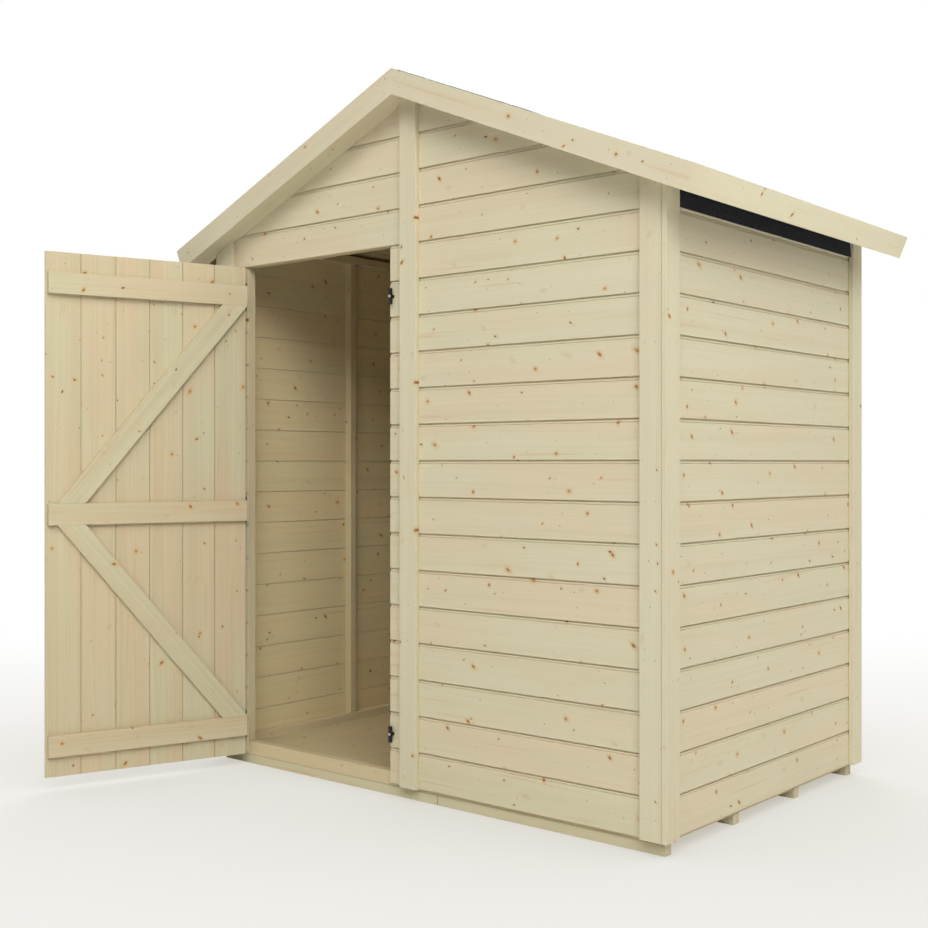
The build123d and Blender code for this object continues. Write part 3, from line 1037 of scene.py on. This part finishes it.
@dataclass
class Roof:
    """Boarded slopes with felt, battens, bargeboards and fascias."""

    shop: Workshop
    ease: float = 1.6 * MM
    fine_ease: float = 0.5 * MM
    board_count: int = 11
    felt_hidden_end: float = 120 * MM
    fold_radius: float = 38 * MM
    # Black felt under the eaves; its long lap and its flare down the side walls are painted shade.
    painted_shade_felt: float = 2.0 * MM
    painted_shade_felt_gap: float = 0.2 * MM
    painted_shade_felt_lap: float = 118.0 * MM
    painted_shade_felt_flare: float = 7.0 * MM
    batten_nodes: tuple = ("front_verge_battens", "rear_verge_battens")
    board_nodes: tuple = ("front_left_bargeboard", "front_right_bargeboard", "rear_left_bargeboard",
                          "rear_right_bargeboard", "left_eave_fascia", "right_eave_fascia")

    def __post_init__(self) -> None:
        """Work out the slope from the walls and the sheets."""
        self.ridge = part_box("front_gable")[1]
        rise = self.ridge.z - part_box("left_cladding")[1].z
        self.pitch = math.atan2(rise, self.ridge.x)
        self.sheet_low, self.sheet_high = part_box("right_roof_sheet")
        self.sheet = (self.sheet_high.z - self.ridge.z) * math.cos(self.pitch)

    def point(self, side: Slope, run: float, lift: float, y: float) -> Vector:
        """Return a point on a slope.

        Args:
            side: which slope.
            run: distance down the slope from the ridge.
            lift: height over the underside of the sheet, square to it.
            y: place along the ridge.

        Returns:
            The point.
        """
        sine, cosine = math.sin(self.pitch), math.cos(self.pitch)
        return Vector((side.value * (run * cosine + lift * sine), y, self.ridge.z - run * sine + lift * cosine))

    def build(self) -> None:
        """Make the timbers, the boards and the felt."""
        for seed, node in enumerate(self.batten_nodes, 300):
            self.shop.timbers(node + "_timber", [node], "trim_timber", self.ease, seed)
        for seed, node in enumerate(self.board_nodes, 302):
            self.shop.timbers(node + "_timber", [node], "trim_timber", self.fine_ease, seed, tones=(0.4, 0.6))
        self.nail_bargeboards()
        for side, node in ((Slope.LEFT, "left_roof_sheet"), (Slope.RIGHT, "right_roof_sheet")):
            self.build_boards(side, node)
        self.build_felt()
        self.build_eave_painted_shade_felt()

    def build_eave_painted_shade_felt(self) -> None:
        """Hang black felt under both eaves; its long dark lap down the top board of the side walls is painted
        shade where the eave's shadow falls.
        """
        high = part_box("right_cladding")[1]
        ends = sorted(y for low, top in stick_boxes("right_side_trims") for y in (low.y, top.y))[1:3]
        sine, cosine = math.sin(self.pitch), math.cos(self.pitch)
        end = (self.sheet_high.x - self.sheet * sine) / cosine - self.painted_shade_felt_gap
        near, far = high.x + self.painted_shade_felt_gap, high.x + self.painted_shade_felt_gap + self.painted_shade_felt
        # The hem hangs far down the top board as painted shade, flared out so that it also casts a soft shadow
        # below it.
        hem = high.z - self.painted_shade_felt_lap
        mesh = bmesh.new()
        for side in Slope:
            upper, lower = -self.painted_shade_felt_gap, -self.painted_shade_felt_gap - self.painted_shade_felt
            section = [self.point(side, end, upper, 0), self.point(side, end, lower, 0),
                       self.point(side, (far - lower * sine) / cosine, lower, 0),
                       Vector((side.value * (far + self.painted_shade_felt_flare), 0, hem)),
                       Vector((side.value * (near + self.painted_shade_felt_flare), 0, hem)),
                       self.point(side, (near - upper * sine) / cosine, upper, 0)]
            loops = [[mesh.verts.new(corner + Y_AXIS * y) for corner in section]
                     for y in (ends[0] + self.painted_shade_felt_gap, ends[1] - self.painted_shade_felt_gap)]
            for index, corner in enumerate(loops[0]):
                mesh.faces.new((loops[0][index - 1], corner, loops[1][index], loops[1][index - 1]))
            for loop in loops:
                mesh.faces.new(loop)
        bmesh.ops.recalc_face_normals(mesh, faces=mesh.faces)
        data = bpy.data.meshes.new("eave_linings")
        mesh.to_mesh(data)
        mesh.free()
        data.materials.append(self.shop.finishes["felt"])
        hand_in(add_object("eave_linings", data), Body.SHED, "felt")

    def nail_bargeboards(self) -> None:
        """Nail the bargeboards at the ridge, half way down and at the eave."""
        low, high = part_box("front_left_bargeboard")
        run = (-low.x) / math.cos(self.pitch)
        spots = [(30 * MM, -6 * MM), (52 * MM, -34 * MM), (62 * MM, -6 * MM), (0.5 * run, -10 * MM),
                 (0.5 * run, -46 * MM), (run - 70 * MM, -10 * MM), (run - 70 * MM, -46 * MM)]
        places = []
        for node, out in (("front_left_bargeboard", -Y_AXIS), ("rear_left_bargeboard", Y_AXIS)):
            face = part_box(node)[0].y if out.y < 0 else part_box(node)[1].y
            places += [(self.point(side, along, lift, face), out) for side in Slope for along, lift in spots]
        self.shop.pin_nails("bargeboard_nails", places, 72)

    def build_boards(self, side: Slope, node: str) -> None:
        """Board one slope from the eave up and saw it off at the ridge."""
        run = (self.sheet_high.x - self.sheet * math.sin(self.pitch)) / math.cos(self.pitch)
        start = self.point(side, run, 0.0, self.sheet_low.y)
        up = (self.point(side, 0.0, 0.0, 0.0) - self.point(side, 1.0, 0.0, 0.0)).normalized()
        out = (self.point(side, 0.0, 1.0, 0.0) - self.point(side, 0.0, 0.0, 0.0)).normalized()
        section = BoardSection(run / self.board_count, self.sheet, chamfer=1.2 * MM)
        piece = self.shop.courses.lay(node + "_boards", section,
                                      BoardPlace(start, Y_AXIS, up, out, self.sheet_high.y - self.sheet_low.y),
                                      self.board_count + 1, 41 + side.value,
                                      self.shop.finishes["roof_timber"])
        cut_piece(piece, Vector(), Vector((-side.value, 0, 0)))
        hand_in(piece, Body.SHED, "roof_timber", node)

    def felt_sheet(self, mesh: bmesh.types.BMesh, rows: Sequence[Vector], y_low: float, y_high: float,
                   thickness: float) -> None:
        """Add one length of felt.

        Args:
            mesh: the mesh that it goes into.
            rows: points of its underside across the slope, at y 0.
            y_low: one end along the ridge.
            y_high: the other end.
            thickness: thickness of the felt.
        """
        steps = 60
        lots = random.Random(round(rows[0].x * 1e4))
        waves = [(lots.uniform(4, 16), lots.uniform(0, math.tau), lots.uniform(0.1, 0.35) * MM)
                 for _ in range(4)]
        columns = []
        for index, row in enumerate(rows):
            before, after = rows[max(index - 1, 0)], rows[min(index + 1, len(rows) - 1)]
            across = (after - before).normalized()
            normal = Vector((-across.z, 0, across.x))
            if normal.z < 0:
                normal = -normal
            below, above = [], []
            for step in range(steps + 1):
                y = y_low + (y_high - y_low) * step / steps
                wave = sum(size * (1 + math.sin(rate * y + phase + 3 * index)) for rate, phase, size in waves)
                point = row + Vector((0, y, 0))
                below.append(mesh.verts.new(point))
                above.append(mesh.verts.new(point + normal * (thickness - 0.6 * MM + 0.5 * wave)))
            columns.append((below, above))
        for (low_a, top_a), (low_b, top_b) in zip(columns, columns[1:]):
            for step in range(steps):
                mesh.faces.new((top_a[step], top_a[step + 1], top_b[step + 1], top_b[step]))
                mesh.faces.new((low_a[step], low_b[step], low_b[step + 1], low_a[step + 1]))
        for low, top in (columns[0], columns[-1]):
            for step in range(steps):
                mesh.faces.new((low[step], low[step + 1], top[step + 1], top[step]))
        for end in (0, steps):
            for (low_a, top_a), (low_b, top_b) in zip(columns, columns[1:]):
                mesh.faces.new((low_a[end], top_a[end], top_b[end], low_b[end]))

    def build_felt(self) -> None:
        """Lay a length of felt on each slope and one over the ridge, with clout nails."""
        low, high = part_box("roof_felt")
        felt_top = (high.z - self.ridge.z) * math.cos(self.pitch)
        edge = (high.x - felt_top * math.sin(self.pitch)) / math.cos(self.pitch)
        cap_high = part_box("ridge_strip")[1]
        cap_top = (cap_high.z - self.ridge.z) * math.cos(self.pitch)
        cap_edge = (cap_high.x - cap_top * math.sin(self.pitch)) / math.cos(self.pitch)
        mesh = bmesh.new()
        nails = []
        for side in Slope:
            lower = [self.point(side, run, self.sheet, 0) for run in self.runs(edge, self.felt_hidden_end, 12)]
            self.felt_sheet(mesh, lower, low.y, high.y, felt_top - self.sheet)
            nails += self.felt_nails(side, edge, cap_edge, felt_top, cap_top, low.y, high.y)
        fold = self.ridge.z + felt_top / math.cos(self.pitch) - self.fold_radius / math.cos(self.pitch)
        bend = [Vector((self.fold_radius * math.sin(angle), 0, fold + self.fold_radius * math.cos(angle)))
                for angle in self.runs(-self.pitch, self.pitch, 7)]
        flat_end = self.fold_radius * math.tan(self.pitch) + 8 * MM
        left = [self.point(Slope.LEFT, run, felt_top, 0) for run in self.runs(cap_edge, flat_end, 8)]
        right = [self.point(Slope.RIGHT, run, felt_top, 0) for run in self.runs(flat_end, cap_edge, 8)]
        self.felt_sheet(mesh, left + bend + right, low.y, high.y, cap_top - felt_top)
        bmesh.ops.recalc_face_normals(mesh, faces=mesh.faces)
        data = bpy.data.meshes.new("felt_lengths")
        mesh.to_mesh(data)
        mesh.free()
        data.materials.append(self.shop.finishes["felt"])
        data.shade_smooth()
        data.set_sharp_from_angle(angle=math.radians(35))
        hand_in(add_object("felt_lengths", data), Body.SHED, "felt", "roof_felt", "ridge_strip")
        self.shop.fixings.drive("felt_clout_nails", nails, Fixings.head(4.5 * MM, 0.6 * MM, 10), 51,
                                Body.SHED, "bright_screw", self.shop.finishes)

    def felt_nails(self, side: Slope, edge: float, cap_edge: float, felt_top: float, cap_top: float,
                   y_low: float, y_high: float) -> list:
        """Place the clout nails of one slope.

        Args:
            side: which slope.
            edge: run of the lower felt's edge.
            cap_edge: run of the ridge felt's edge.
            felt_top: lift of the lower felt's face.
            cap_top: lift of the ridge felt's face.
            y_low: front end of the felt.
            y_high: rear end of the felt.

        Returns:
            Pairs of the nail's place and the way out of the roof.
        """
        out = (self.point(side, 0.0, 1.0, 0.0) - self.point(side, 0.0, 0.0, 0.0)).normalized()
        spots = [(edge * (index + 0.5) / 13, y) for y in (y_low + 12 * MM, y_high - 12 * MM)
                 for index in range(13)]
        spots += [(run, y_low + (y_high - y_low) * (index + 0.5) / 17)
                  for run in (edge - 14 * MM, cap_edge - 14 * MM) for index in range(17)]
        return [(self.point(side, run, cap_top if run < cap_edge else felt_top, y), out) for run, y in spots]

    @staticmethod
    def runs(start: float, end: float, count: int) -> list:
        """Return evenly spaced numbers from start to end."""
        return [start + (end - start) * index / (count - 1) for index in range(count)]


class DoorHang:
    """The door's hinge: turns shapes made for the shut door into the stored open pose."""

    def __init__(self) -> None:
        """Read the hinge from the frame."""
        joint = next(item for item in frame["joints"] if item["name"] == "door_hinge")
        pivot = Matrix.Translation(Vector(joint["pos_m"]))
        self.opening = pivot @ Matrix.Rotation(-math.radians(joint["range_deg"][1]), 4,
                                               Vector(joint["axis"])) @ pivot.inverted()

    def shut_box(self, node: str) -> tuple:
        """Return the lowest and highest corners of a door node with the door shut."""
        shut = self.opening.inverted()
        points = [shut @ corner.co for corner in frame["nodes"][node].data.vertices]
        low = Vector([min(point[axis] for point in points) for axis in range(3)])
        high = Vector([max(point[axis] for point in points) for axis in range(3)])
        return low, high


@dataclass
class Door:
    """Ledged-and-braced door, open in the stored pose."""

    shop: Workshop
    hang: DoorHang = field(default_factory=DoorHang)
    board_count: int = 6
    ease: float = 1.2 * MM
    chamfer: float = 1.0 * MM
    joint_gap: float = 1.6 * MM

    def build(self) -> None:
        """Make the boards, ledges and braces."""
        low, high = self.hang.shut_box("door_boards")
        section = BoardSection((high.x - low.x) / self.board_count, high.y - low.y, chamfer=self.chamfer,
                               tongue_shares=(0.36, 0.64), play=self.joint_gap)
        place = BoardPlace(low, Z_AXIS, X_AXIS, Y_AXIS, high.z - low.z)
        boards = self.shop.courses.lay("door_face_boards", section, place, self.board_count, 61,
                                       self.shop.finishes["door_timber"])
        cut_piece(boards, high, X_AXIS)
        boards.data.transform(self.hang.opening)
        hand_in(boards, Body.DOOR, "door_timber", "door_boards")
        self.shop.timbers("door_ledge_timbers", ["door_ledges"], "door_timber", self.ease, 62, Body.DOOR)
        self.shop.timbers("door_brace_timbers", ["door_braces"], "door_timber", self.ease, 63, Body.DOOR)


@dataclass
class Fittings:
    """Black tee hinges and turn buttons with their screws."""

    shop: Workshop
    nodes: tuple = ("hinge_straps", "hinge_plates", "upper_turn_button", "lower_turn_button")

    def build(self) -> None:
        """Give the CAD fittings their finishes."""
        for node in self.nodes:
            self.dress(node, "black_metal")
        self.dress("button_screws", "bright_screw")

    def dress(self, node: str, slot: str) -> None:
        """Put a finish on a CAD node."""
        piece = frame["nodes"][node]
        piece.data.materials.clear()
        piece.data.materials.append(self.shop.finishes[slot])
        LOG.info("%s keeps its CAD shape", node)


@dataclass(frozen=True)
class SoftLamp:
    """A large soft lamp that looks at the shed."""

    name: str
    place: tuple
    size: tuple
    power: float
    target: tuple = (0, 0.4, 0.9)
    spread: float = 180.0

    def hang(self) -> None:
        """Put the lamp into the scene."""
        data = bpy.data.lights.new(self.name, "AREA")
        data.shape = "RECTANGLE"
        data.size, data.size_y = self.size
        data.energy = self.power
        data.spread = math.radians(self.spread)
        lamp = bpy.data.objects.new(self.name, data)
        lamp.location = self.place
        aim = Vector(self.target) - lamp.location
        lamp.rotation_euler = aim.to_track_quat("-Z", "Y").to_euler()
        lamp.visible_camera = False
        bpy.context.scene.collection.objects.link(lamp)


@dataclass
class Studio:
    """Pale floor, soft light and the camera at the photograph's angle."""

    camera_place: tuple = (2.6885, -2.9591, 1.0389)
    camera_turn: float = 40.177
    lens: float = 50.0
    floor_half: float = 40.0
    floor_tone: tuple = (0.92, 0.92, 0.90)
    floor_glow: tuple = (0.885, 0.876, 0.846)
    floor_share: float = 0.86
    # Colour and reach of the painted contact shade on the floor's emitted white.
    painted_contact_shade: tuple = (0.60, 0.57, 0.49)
    painted_contact_shade_reach: float = 1.4
    fade: tuple = (4.2, 8.1)
    middle: tuple = (0.0, 0.58, 0.0)
    round_fade: tuple = (4.4, 8.6)
    sky: float = 0.10
    lamps: tuple = (SoftLamp("key", (7.4, -5.0, 6.6), (5.0, 5.0), 520.0),
                    SoftLamp("front_high", (2.2, -6.0, 6.4), (5.0, 4.0), 305.0),
                    SoftLamp("side_top", (4.4, 1.8, 7.6), (4.0, 4.0), 195.0),
                    SoftLamp("back_light", (-4.6, 6.4, 5.6), (5.0, 5.0), 560.0),
                    SoftLamp("eave_light", (1.24, 0.58, 0.05), (1.6, 0.34), 1.3, (1.12, 0.58, 1.8), 22.0))

    def build(self) -> None:
        """Set the stage."""
        self.build_camera()
        self.build_floor()
        self.build_world()
        for lamp in self.lamps:
            lamp.hang()
        bpy.context.scene.view_settings.view_transform = "Standard"

    def build_camera(self) -> None:
        """Place the camera."""
        data = bpy.data.cameras.new("camera")
        data.lens = self.lens
        data.sensor_width = 36.0
        camera = bpy.data.objects.new("camera", data)
        camera.location = self.camera_place
        camera.rotation_euler = (math.pi / 2, 0, math.radians(self.camera_turn))
        bpy.context.scene.collection.objects.link(camera)
        bpy.context.scene.camera = camera

    def build_floor(self) -> None:
        """Lay a pale floor that fades to white beyond the shed, with painted contact shade near it."""
        mesh = bmesh.new()
        bmesh.ops.create_grid(mesh, x_segments=1, y_segments=1, size=self.floor_half)
        data = bpy.data.meshes.new("studio_floor")
        mesh.to_mesh(data)
        mesh.free()
        material, graph, shader = new_material("studio_floor")
        shader.inputs["Base Color"].default_value = (*self.floor_tone, 1)
        shader.inputs["Roughness"].default_value = 0.9
        shader.inputs["Specular IOR Level"].default_value = 0.0
        place = graph.add("ShaderNodeTexCoord").outputs["Object"]
        turn = math.radians(self.camera_turn)
        ahead = graph.add("ShaderNodeVectorMath",
                          {0: place, 1: (-math.sin(turn), math.cos(turn), 0)}, operation="DOT_PRODUCT")
        start = -math.sin(turn) * self.camera_place[0] + math.cos(turn) * self.camera_place[1]
        depth = graph.math("SUBTRACT", ahead.outputs["Value"], start)
        path = graph.add("ShaderNodeLightPath").outputs
        seen = graph.math("ADD", graph.math("ADD", path["Is Camera Ray"], path["Is Glossy Ray"]),
                          path["Is Transmission Ray"], clamp=True)
        reach = graph.add("ShaderNodeVectorMath", {0: place, 1: self.middle}, operation="DISTANCE")
        fade = graph.math("MAXIMUM", graph.step(depth, *self.fade),
                          graph.step(reach.outputs["Value"], *self.round_fade))
        share = graph.math("MULTIPLY", graph.spread(fade, self.floor_share, 1.0), seen)
        # Painted contact shade: an ambient occlusion node darkens the floor's emitted white towards the painted
        # shade colour near the shed.
        openness = graph.add("ShaderNodeAmbientOcclusion", {"Distance": self.painted_contact_shade_reach}, samples=12)
        near = graph.mix(openness.outputs["AO"], (*self.painted_contact_shade, 1), (*self.floor_glow, 1))
        glow = graph.mix(fade, near, (1, 1, 1, 1))
        white = graph.add("ShaderNodeEmission", {"Color": glow})
        mixed = graph.add("ShaderNodeMixShader", {0: share, 1: shader.outputs[0], 2: white.outputs[0]}).outputs[0]
        graph.plug(material.node_tree.nodes["Material Output"].inputs["Surface"], mixed)
        data.materials.append(material)
        floor = add_object("studio_floor", data)

    def build_world(self) -> None:
        """Light softly from all round and show white behind the shed."""
        world = bpy.data.worlds.new("studio")
        bpy.context.scene.world = world
        world.use_nodes = True
        graph = Graph(world.node_tree)
        dome = world.node_tree.nodes["Background"]
        dome.inputs["Color"].default_value = (1, 1, 1, 1)
        way = graph.add("ShaderNodeSeparateXYZ", {0: graph.add("ShaderNodeTexCoord").outputs["Generated"]})
        height = graph.step(way.outputs[2], -0.02, 0.02)
        graph.plug(dome.inputs["Strength"], graph.math("MULTIPLY", height, self.sky))
        white = graph.add("ShaderNodeBackground", {"Color": (1, 1, 1, 1), "Strength": 1.0}).outputs[0]
        path = graph.add("ShaderNodeLightPath").outputs
        seen = graph.math("ADD", graph.math("ADD", path["Is Camera Ray"], path["Is Glossy Ray"]),
                          path["Is Transmission Ray"], clamp=True)
        mixed = graph.add("ShaderNodeMixShader", {0: seen, 1: dome.outputs[0], 2: white}).outputs[0]
        graph.plug(world.node_tree.nodes["World Output"].inputs["Surface"], mixed)


def main() -> None:
    """Build the shed's sub-assemblies in order and set the stage."""
    logging.basicConfig(level=logging.INFO, format="%(message)s")
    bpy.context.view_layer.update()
    shop = Workshop()
    for part in (Base, WallFrame, Cladding, Trims, Roof, Door, Fittings):
        part(shop).build()
        LOG.info("%s done", part.__name__)
    Studio().build()


if __name__ == "__main__":
    main()
